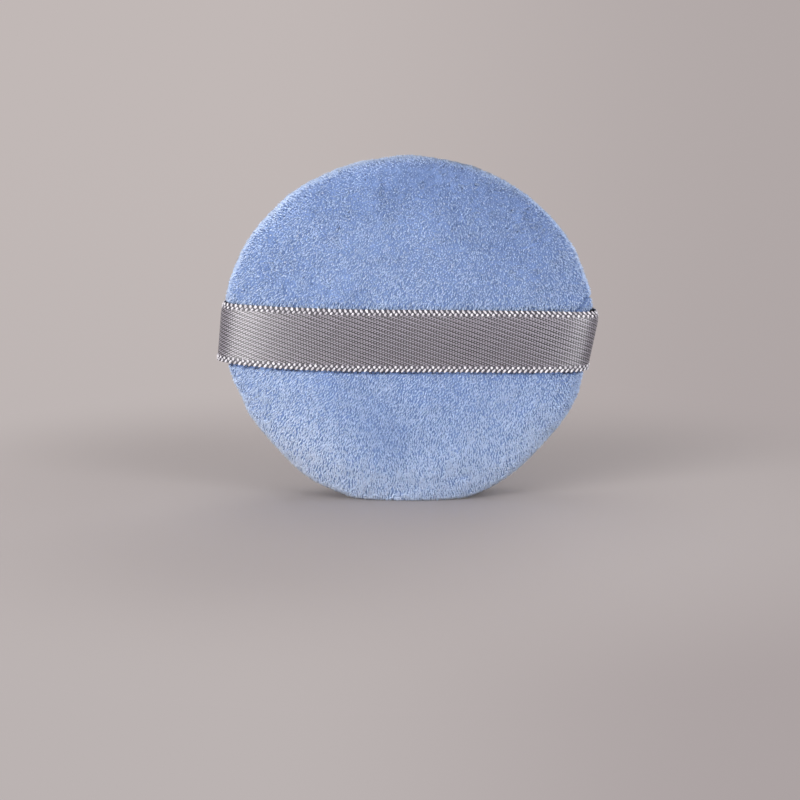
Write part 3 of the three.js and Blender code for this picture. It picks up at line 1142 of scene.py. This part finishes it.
def finely(section, step):
    # the same section with points at most one step apart
    fine = [section[0]]
    for before, after in zip(section, section[1:]):
        count = max(1, math.ceil(math.dist(before, after) / step))
        fine += [tuple(a + (b - a) * i / count for a, b in zip(before, after)) for i in range(1, count + 1)]
    return fine


def makeFilling(name, section, side, seed, finish):
    piece = spun(name, [(radius, side * depth) for radius, depth in section], filling["segments"])
    movePoints(piece, settled(pointsOf(piece)))
    points, outward = pointsOf(piece), normalsOf(piece)
    inward = filling["lumps"] * (0.5 + 0.5 * np.tanh(ripple(points, filling["lumpSize"], seed)))
    points -= outward * inward[:, None]
    points[:, 2] = np.maximum(points[:, 2], filling["keptUp"])
    movePoints(piece, points)
    piece.data.materials.append(finish)
    only(piece)
    bpy.ops.object.shade_smooth_by_angle(angle=math.radians(40))
    place(piece, name)
    return piece


def foamFinish():
    foam = Finish("cream_foam", Roughness=0.9, Specular_IOR_Level=0.2)
    cells = foam.noise(0.0005, 3).over(0.38, 0.62)
    foam.drive("Base Color", foam.blend(cells, linear(206, 200, 180), linear(243, 239, 226)))
    foam.bump(cells, 0.0003)
    return foam.material


def waddingFinish():
    fibre = Finish("white_fibre", Roughness=0.95, Specular_IOR_Level=0.15)
    x, y, z = fibre.parts(fibre.coordinates())
    # fibres lie this way and that, so the noise is stretched along two slanting directions
    drawn = fibre.node("ShaderNodeCombineXYZ", {0: x * 6 + z * 3, 1: y * 2, 2: z - x * 0.5})
    crossed = fibre.node("ShaderNodeCombineXYZ", {0: x - z * 0.4, 1: y * 2, 2: z * 6 + x * 2})
    first, second = (fibre.noise(0.002, 3, where).over(0.4, 0.6) for where in (drawn, crossed))
    strands = first * 0.5 + second * 0.5
    fibre.drive("Base Color", fibre.blend(strands, linear(226, 228, 232), linear(249, 250, 251)))
    fibre.bump(strands, 0.0004, 0.8)
    return fibre.material


def makeFoam():
    radius, half, edge = filling["foamRadius"], filling["foamHalf"], filling["foamEdge"]
    turns = [math.radians(angle) for angle in range(0, 91, 15)]
    corner = [(radius - edge + edge * math.sin(turn), half - edge + edge * math.cos(turn)) for turn in turns]
    section = [(0, half)] + corner + [(across, -depth) for across, depth in reversed(corner)] + [(0, -half)]
    piece = makeFilling("foam_disc", finely(section, 0.0015), 1, 51, foamFinish())
    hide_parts("foam_core")


def makeWadding(name, node, side, height, finish):
    radius, half, edge, fit = (filling[key] for key in ("waddingRadius", "foamHalf", "foamEdge", "fit"))
    inner = filling["foamRadius"] + fit
    section = [tuple(point) for point in crown(radius, height - filling["waddingInset"], 30)]
    section += [tuple(point) for point in roll(radius, filling["skirtRadius"], filling["skirtDepth"], 6)]
    section += [(inner, filling["skirtDepth"]), (inner, half - edge + fit), (inner - edge, half + fit), (0, half + fit)]
    piece = makeFilling(name, finely(section, 0.0015), side, 52 + side, finish)
    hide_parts(node)


makeFoam()
fibre = waddingFinish()
makeWadding("ribbon_side_fibre", "ribbon_side_wadding", 1, puff["ribbonSideHeight"], fibre)
makeWadding("powder_side_fibre", "powder_side_wadding", -1, puff["powderSideHeight"], fibre)
print("filling: foam disc and two layers of wadding")

# the threads, of two plies twisted together
sewing = {
    "plyRadius": 0.00009,
    "twist": 0.0009,             # length of one turn
    "sides": 6,
    "pointsInStitch": 14,
    "seamRadius": 0.0363,
    "seamStitches": 62,
    "seamArc": (-18, 278),       # degrees round the rim, past both ends of the filling mouth
    "dip": 0.0002,               # how much lower the thread is at a needle hole
    "ladderRadius": 0.0387,
    "ladderHalf": 0.0005,
    "ladderRungs": 14,
    "ladderArc": (-78, -22),
    "tackRadius": 0.0345,
    "tackLength": 0.012,
    "tackStitches": 5,
}


def rimPlaces(radius, depth, angle):
    return settled(np.column_stack((radius * np.cos(angle), -depth, radius * np.sin(angle))))


def makeThread(name, route, node, finish):
    ahead = unit(np.gradient(route, axis=0))
    aside = unit(np.cross(ahead, (0, 1, 0)))
    over = np.cross(aside, ahead)
    run = np.concatenate(([0], np.cumsum(np.linalg.norm(np.diff(route, axis=0), axis=1))))
    plies = []
    for ply in range(2):
        turn = 2 * math.pi * run / sewing["twist"] + math.pi * ply
        middle = route + sewing["plyRadius"] * 0.85 * (aside * np.cos(turn)[:, None] + over * np.sin(turn)[:, None])
        bpy.ops.mesh.primitive_grid_add(x_subdivisions=len(route) - 1, y_subdivisions=sewing["sides"], size=1)
        piece = bpy.context.object
        flat = pointsOf(piece) + 0.5
        at = (flat[:, 0] * (len(route) - 1)).round().astype(int)
        about = 2 * math.pi * flat[:, 1]
        ring = aside[at] * np.cos(about)[:, None] + over[at] * np.sin(about)[:, None]
        movePoints(piece, middle[at] + ring * sewing["plyRadius"])
        with editing(piece):
            bpy.ops.mesh.select_all(action="SELECT")
            bpy.ops.mesh.remove_doubles(threshold=0.000002)
            bpy.ops.mesh.fill_holes(sides=0)
            bpy.ops.mesh.select_all(action="SELECT")
            bpy.ops.mesh.normals_make_consistent(inside=False)
        plies.append(piece)
    only(plies[0])
    plies[1].select_set(True)
    bpy.ops.object.join()
    thread = bpy.context.object
    thread.data.materials.append(finish)
    only(thread)
    bpy.ops.object.shade_smooth()
    place(thread, name)
    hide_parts(node)


def stitchRow(radius, fromAngle, toAngle, stitches, side):
    # on the inner face of an allowance, low at each needle hole
    count = stitches * sewing["pointsInStitch"]
    angle = np.linspace(fromAngle, toAngle, count + 1)
    wave = 0.5 - 0.5 * np.cos(np.linspace(0, 2 * math.pi * stitches, count + 1))
    lift = cover["thickness"] + 2 * sewing["plyRadius"] + sewing["dip"] * wave
    depth = partedAt(radius * np.cos(angle), radius * np.sin(angle)) + lift
    return rimPlaces(radius, side * depth, angle)


def ladderRow():
    # from one cover to the other across the groove
    count = sewing["ladderRungs"] * sewing["pointsInStitch"]
    angle = np.radians(np.linspace(*sewing["ladderArc"], count + 1))
    swing = np.cos(np.linspace(0, math.pi * sewing["ladderRungs"], count + 1))
    return rimPlaces(sewing["ladderRadius"], -sewing["ladderHalf"] * np.sign(swing) * np.abs(swing) ** 0.6, angle)


def threadFinish(name, dark, light):
    yarn = Finish(name, Roughness=0.6, Specular_IOR_Level=0.4)
    fine = yarn.noise(0.0002, 2).over(0.35, 0.65)
    yarn.drive("Base Color", yarn.blend(fine, dark, light))
    yarn.bump(fine, 0.00003, 0.6)
    return yarn.material


seamYarn = threadFinish("seam_yarn", linear(136, 154, 192), linear(164, 182, 218))
tackYarn = threadFinish("tack_yarn", linear(160, 157, 164), linear(192, 189, 196))
seamFrom, seamTo = (math.radians(angle) for angle in sewing["seamArc"])
for name, node, side in (("needle_yarn", "needle_thread", 1), ("bobbin_yarn", "bobbin_thread", -1)):
    row = stitchRow(sewing["seamRadius"], seamFrom, seamTo, sewing["seamStitches"], side)
    makeThread(name, row, node, seamYarn)
makeThread("closing_yarn", ladderRow(), "closing_stitch", seamYarn)
for end, name in zip(ribbonEnds, ("left", "right")):
    radius = sewing["tackRadius"]
    height = ribbon["raise"] + end["rise"] * (radius / puff["halfWidth"]) ** 2
    middle = math.asin(height / radius) if end["side"] > 0 else math.pi - math.asin(height / radius)
    half = sewing["tackLength"] / 2 / radius
    row = stitchRow(radius, middle - half, middle + half, sewing["tackStitches"], 1)
    makeThread(f"tack_yarn_{name}", row, f"ribbon_tack_{name}", tackYarn)
print("threads: machine seam, closing stitch and two tacks")
